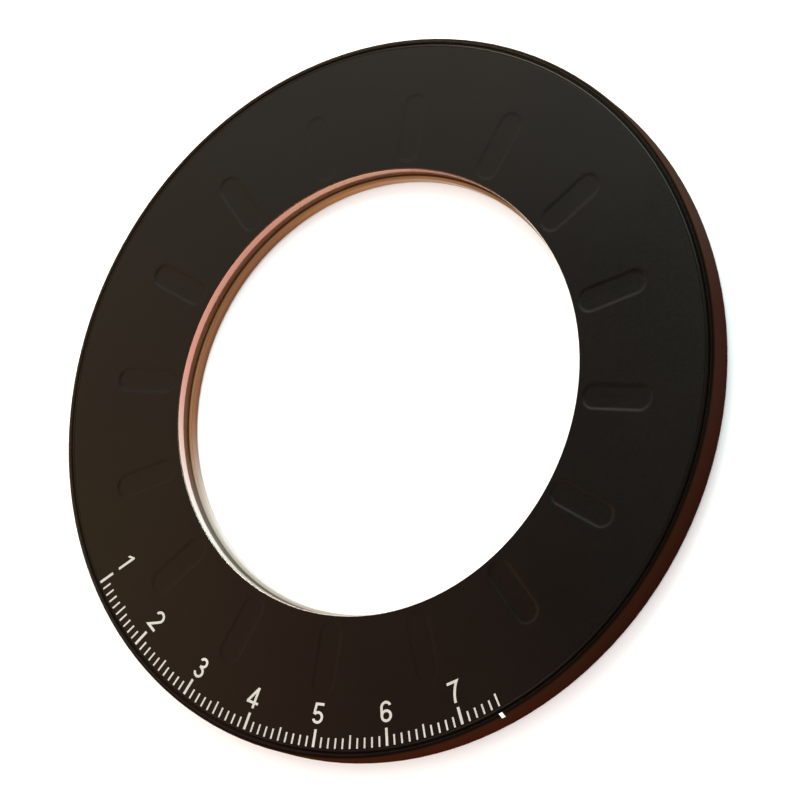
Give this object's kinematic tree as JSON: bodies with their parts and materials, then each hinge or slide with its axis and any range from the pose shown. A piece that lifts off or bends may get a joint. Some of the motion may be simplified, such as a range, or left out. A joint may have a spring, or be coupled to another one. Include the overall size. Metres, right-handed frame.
{
  "type": "adjustable iris circle template",
  "caption": "Flat ring-shaped drawing template: turning the printed dial closes thin curved blades over the centre hole, so a pencil can trace a circle of the chosen diameter.",
  "frame": {"origin": "centre of the aperture, in the plane of the underside", "axes": "+Z out of the printed face; +X and +Y in the plane of the ring, with the fixed index mark at -67.2 degrees from +X"},
  "size_m": [0.1232, 0.1232, 0.0053],
  "materials": {
    "housing_metal": "satin black anodised, bore wall bare",
    "dial_metal": "bare turned bore wall, dark outer edge",
    "overlay": "satin black printed film",
    "ink": "matt off-white print",
    "index_paint": "matt white paint",
    "spring_steel": "blackened spring steel",
    "blade_steel": "fine brushed sheet steel",
    "pin_steel": "turned steel"
  },
  "bodies": {
    "housing": {"base_ring": "housing_metal", "index_mark": "index_paint", "retaining_ring": "spring_steel", "stop_pin": "pin_steel"},
    "dial": {"dial_plate": "dial_metal", "face_film": "overlay", "scale_marks": "ink"},
    "blade_01": {"blade_01": "blade_steel", "pivot_stud_01": "pin_steel", "drive_stud_01": "pin_steel"},
    "blade_02": {"blade_02": "blade_steel", "pivot_stud_02": "pin_steel", "drive_stud_02": "pin_steel"},
    "blade_03": {"blade_03": "blade_steel", "pivot_stud_03": "pin_steel", "drive_stud_03": "pin_steel"},
    "blade_04": {"blade_04": "blade_steel", "pivot_stud_04": "pin_steel", "drive_stud_04": "pin_steel"},
    "blade_05": {"blade_05": "blade_steel", "pivot_stud_05": "pin_steel", "drive_stud_05": "pin_steel"},
    "blade_06": {"blade_06": "blade_steel", "pivot_stud_06": "pin_steel", "drive_stud_06": "pin_steel"},
    "blade_07": {"blade_07": "blade_steel", "pivot_stud_07": "pin_steel", "drive_stud_07": "pin_steel"},
    "blade_08": {"blade_08": "blade_steel", "pivot_stud_08": "pin_steel", "drive_stud_08": "pin_steel"},
    "blade_09": {"blade_09": "blade_steel", "pivot_stud_09": "pin_steel", "drive_stud_09": "pin_steel"},
    "blade_10": {"blade_10": "blade_steel", "pivot_stud_10": "pin_steel", "drive_stud_10": "pin_steel"},
    "blade_11": {"blade_11": "blade_steel", "pivot_stud_11": "pin_steel", "drive_stud_11": "pin_steel"},
    "blade_12": {"blade_12": "blade_steel", "pivot_stud_12": "pin_steel", "drive_stud_12": "pin_steel"},
    "blade_13": {"blade_13": "blade_steel", "pivot_stud_13": "pin_steel", "drive_stud_13": "pin_steel"},
    "blade_14": {"blade_14": "blade_steel", "pivot_stud_14": "pin_steel", "drive_stud_14": "pin_steel"},
    "blade_15": {"blade_15": "blade_steel", "pivot_stud_15": "pin_steel", "drive_stud_15": "pin_steel"},
    "blade_16": {"blade_16": "blade_steel", "pivot_stud_16": "pin_steel", "drive_stud_16": "pin_steel"}
  },
  "joints": [
    {"name": "dial_turn", "type": "hinge", "parent": "housing", "child": "dial", "pos_m": [0, 0, 0.0053], "axis": [0, 0, 1], "range_deg": [0, 86]},
    {"name": "blade_01_swing", "type": "hinge", "parent": "housing", "child": "blade_01", "pos_m": [-0.02451, -0.03594, 0.002], "axis": [0, 0, 1], "range_deg": [0, 45.01]},
    {"name": "blade_02_swing", "type": "hinge", "parent": "housing", "child": "blade_02", "pos_m": [-0.0089, -0.04258, 0.002], "axis": [0, 0, 1], "range_deg": [0, 45.01]},
    {"name": "blade_03_swing", "type": "hinge", "parent": "housing", "child": "blade_03", "pos_m": [0.00808, -0.04274, 0.002], "axis": [0, 0, 1], "range_deg": [0, 45.01]},
    {"name": "blade_04_swing", "type": "hinge", "parent": "housing", "child": "blade_04", "pos_m": [0.02382, -0.0364, 0.002], "axis": [0, 0, 1], "range_deg": [0, 45.01]},
    {"name": "blade_05_swing", "type": "hinge", "parent": "housing", "child": "blade_05", "pos_m": [0.03594, -0.02451, 0.002], "axis": [0, 0, 1], "range_deg": [0, 45.01]},
    {"name": "blade_06_swing", "type": "hinge", "parent": "housing", "child": "blade_06", "pos_m": [0.04258, -0.0089, 0.002], "axis": [0, 0, 1], "range_deg": [0, 45.01]},
    {"name": "blade_07_swing", "type": "hinge", "parent": "housing", "child": "blade_07", "pos_m": [0.04274, 0.00808, 0.002], "axis": [0, 0, 1], "range_deg": [0, 45.01]},
    {"name": "blade_08_swing", "type": "hinge", "parent": "housing", "child": "blade_08", "pos_m": [0.0364, 0.02382, 0.002], "axis": [0, 0, 1], "range_deg": [0, 45.01]},
    {"name": "blade_09_swing", "type": "hinge", "parent": "housing", "child": "blade_09", "pos_m": [0.02451, 0.03594, 0.002], "axis": [0, 0, 1], "range_deg": [0, 45.01]},
    {"name": "blade_10_swing", "type": "hinge", "parent": "housing", "child": "blade_10", "pos_m": [0.0089, 0.04258, 0.002], "axis": [0, 0, 1], "range_deg": [0, 45.01]},
    {"name": "blade_11_swing", "type": "hinge", "parent": "housing", "child": "blade_11", "pos_m": [-0.00808, 0.04274, 0.002], "axis": [0, 0, 1], "range_deg": [0, 45.01]},
    {"name": "blade_12_swing", "type": "hinge", "parent": "housing", "child": "blade_12", "pos_m": [-0.02382, 0.0364, 0.002], "axis": [0, 0, 1], "range_deg": [0, 45.01]},
    {"name": "blade_13_swing", "type": "hinge", "parent": "housing", "child": "blade_13", "pos_m": [-0.03594, 0.02451, 0.002], "axis": [0, 0, 1], "range_deg": [0, 45.01]},
    {"name": "blade_14_swing", "type": "hinge", "parent": "housing", "child": "blade_14", "pos_m": [-0.04258, 0.0089, 0.002], "axis": [0, 0, 1], "range_deg": [0, 45.01]},
    {"name": "blade_15_swing", "type": "hinge", "parent": "housing", "child": "blade_15", "pos_m": [-0.04274, -0.00808, 0.002], "axis": [0, 0, 1], "range_deg": [0, 45.01]},
    {"name": "blade_16_swing", "type": "hinge", "parent": "housing", "child": "blade_16", "pos_m": [-0.0364, -0.02382, 0.002], "axis": [0, 0, 1], "range_deg": [0, 45.01]}
  ],
  "couplings": [
    {"joint": "blade_01_swing", "follows": "dial_turn", "ratio": 0.52336},
    {"joint": "blade_02_swing", "follows": "dial_turn", "ratio": 0.52336},
    {"joint": "blade_03_swing", "follows": "dial_turn", "ratio": 0.52336},
    {"joint": "blade_04_swing", "follows": "dial_turn", "ratio": 0.52336},
    {"joint": "blade_05_swing", "follows": "dial_turn", "ratio": 0.52336},
    {"joint": "blade_06_swing", "follows": "dial_turn", "ratio": 0.52336},
    {"joint": "blade_07_swing", "follows": "dial_turn", "ratio": 0.52336},
    {"joint": "blade_08_swing", "follows": "dial_turn", "ratio": 0.52336},
    {"joint": "blade_09_swing", "follows": "dial_turn", "ratio": 0.52336},
    {"joint": "blade_10_swing", "follows": "dial_turn", "ratio": 0.52336},
    {"joint": "blade_11_swing", "follows": "dial_turn", "ratio": 0.52336},
    {"joint": "blade_12_swing", "follows": "dial_turn", "ratio": 0.52336},
    {"joint": "blade_13_swing", "follows": "dial_turn", "ratio": 0.52336},
    {"joint": "blade_14_swing", "follows": "dial_turn", "ratio": 0.52336},
    {"joint": "blade_15_swing", "follows": "dial_turn", "ratio": 0.52336},
    {"joint": "blade_16_swing", "follows": "dial_turn", "ratio": 0.52336}
  ]
}
